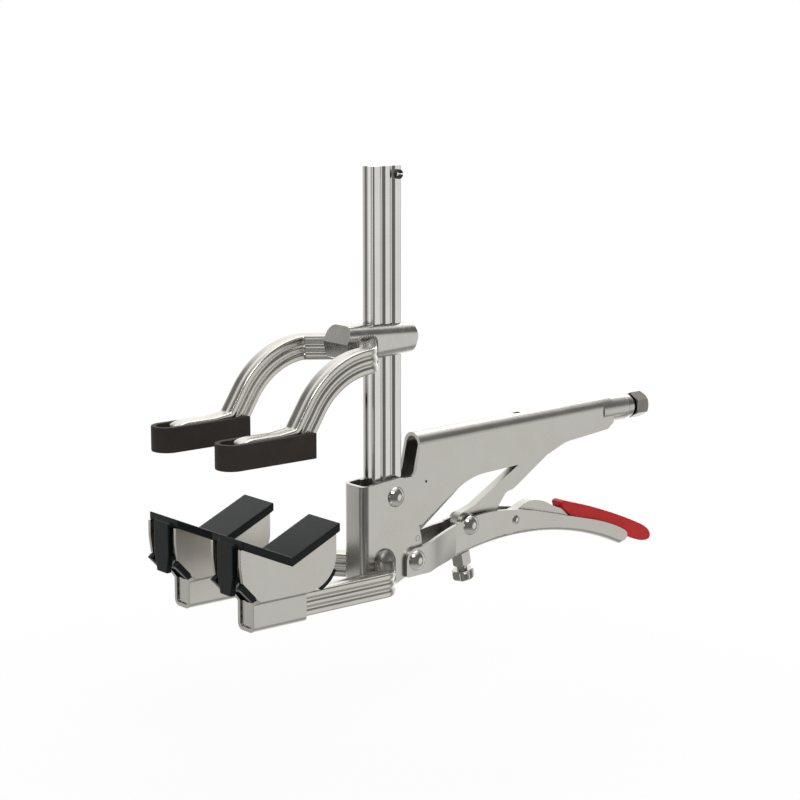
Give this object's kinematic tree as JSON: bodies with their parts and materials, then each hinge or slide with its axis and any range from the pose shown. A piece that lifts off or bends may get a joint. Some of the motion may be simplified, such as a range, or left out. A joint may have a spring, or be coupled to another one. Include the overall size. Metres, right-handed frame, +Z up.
{
  "type": "locking pipe pliers",
  "caption": "Toggle-locking pipe pliers: a sliding fork with capped feet on a fluted rail, facing padded V blocks on the jaw, with an adjusting screw and a release lever.",
  "frame": {"origin": "on the rail's axis in the middle plane, at the height of the V-block sockets' undersides", "axes": "+X from the jaws towards the handles, +Y across the forks, +Z up along the rail"},
  "size_m": [0.3258, 0.0818, 0.2309],
  "materials": {
    "plated_steel": "satin nickel-plated pressed and forged steel",
    "bright_bar": "bright nickel-plated drawn steel bar",
    "polished_rivet": "polished domed rivets",
    "hardware_steel": "plated turned steel",
    "screw_head_steel": "dark plated screw",
    "pad_rubber": "satin black moulded rubber with a greenish cast",
    "cap_rubber": "dark grey-brown matt moulded rubber",
    "red_grip": "glossy red dipped vinyl"
  },
  "bodies": {
    "handle": {"handle_channel": "plated_steel", "rail": "bright_bar", "stop_pin": "hardware_steel", "main_rivet": "polished_rivet", "thread_bush": "hardware_steel", "tension_spring": "hardware_steel"},
    "screw": {"adjusting_screw": "screw_head_steel"},
    "slide_arm": {"slide_collar": "plated_steel", "upper_arm_near": "bright_bar", "upper_arm_far": "bright_bar", "foot_cap_near": "cap_rubber", "foot_cap_far": "cap_rubber"},
    "jaw": {"jaw_housing": "plated_steel", "lower_arm_near": "bright_bar", "lower_arm_far": "bright_bar", "v_block_near": "plated_steel", "v_block_far": "plated_steel", "v_pad_near": "pad_rubber", "v_pad_far": "pad_rubber", "lever_rivet": "polished_rivet", "spring_pin": "hardware_steel"},
    "lever": {"hand_lever": "plated_steel", "link_rivet": "polished_rivet", "release_rivet": "hardware_steel"},
    "link": {"toggle_link": "plated_steel"},
    "release": {"release_lever": "plated_steel", "release_grip": "red_grip"},
    "nut": {"lock_nut": "hardware_steel"},
    "knob": {"knob_screw": "hardware_steel"}
  },
  "joints": [
    {"name": "arm_slide", "type": "slide", "parent": "handle", "child": "slide_arm", "axis": [0, 0, 1], "range_m": [-0.027, 0.073]},
    {"name": "lever_pivot", "type": "hinge", "parent": "jaw", "child": "lever", "pos_m": [0.0149, 0, 0.0115], "axis": [0, 1, 0], "range_deg": [-8, 26]},
    {"name": "jaw_pivot", "type": "hinge", "parent": "handle", "child": "jaw", "pos_m": [0.0022, 0, 0.0478], "axis": [0, -1, 0], "range_deg": [-2.6, 8.3], "deforming": ["tension_spring"]},
    {"name": "link_pivot", "type": "hinge", "parent": "lever", "child": "link", "pos_m": [0.0572, 0, 0.0233], "axis": [0, -1, 0], "range_deg": [-8, 26]},
    {"name": "release_pivot", "type": "hinge", "parent": "lever", "child": "release", "pos_m": [0.0906, 0, 0.0211], "axis": [0, -1, 0], "range_deg": [0, 8]},
    {"name": "screw_turn", "type": "hinge", "parent": "handle", "child": "screw", "pos_m": [0.184, 0, 0.0735], "axis": [1, 0, 0], "continuous": true},
    {"name": "nut_turn", "type": "hinge", "parent": "lever", "child": "nut", "pos_m": [0.0545, 0, 0.00826], "axis": [0.1974, 0, -0.9803], "continuous": true},
    {"name": "knob_turn", "type": "hinge", "parent": "lever", "child": "knob", "pos_m": [0.0545, 0, 0.00826], "axis": [0.1974, 0, -0.9803], "continuous": true}
  ],
  "couplings": [
    {"joint": "jaw_pivot", "follows": "lever_pivot", "ratio": 0.3174},
    {"joint": "link_pivot", "follows": "lever_pivot", "ratio": 0.9992}
  ]
}
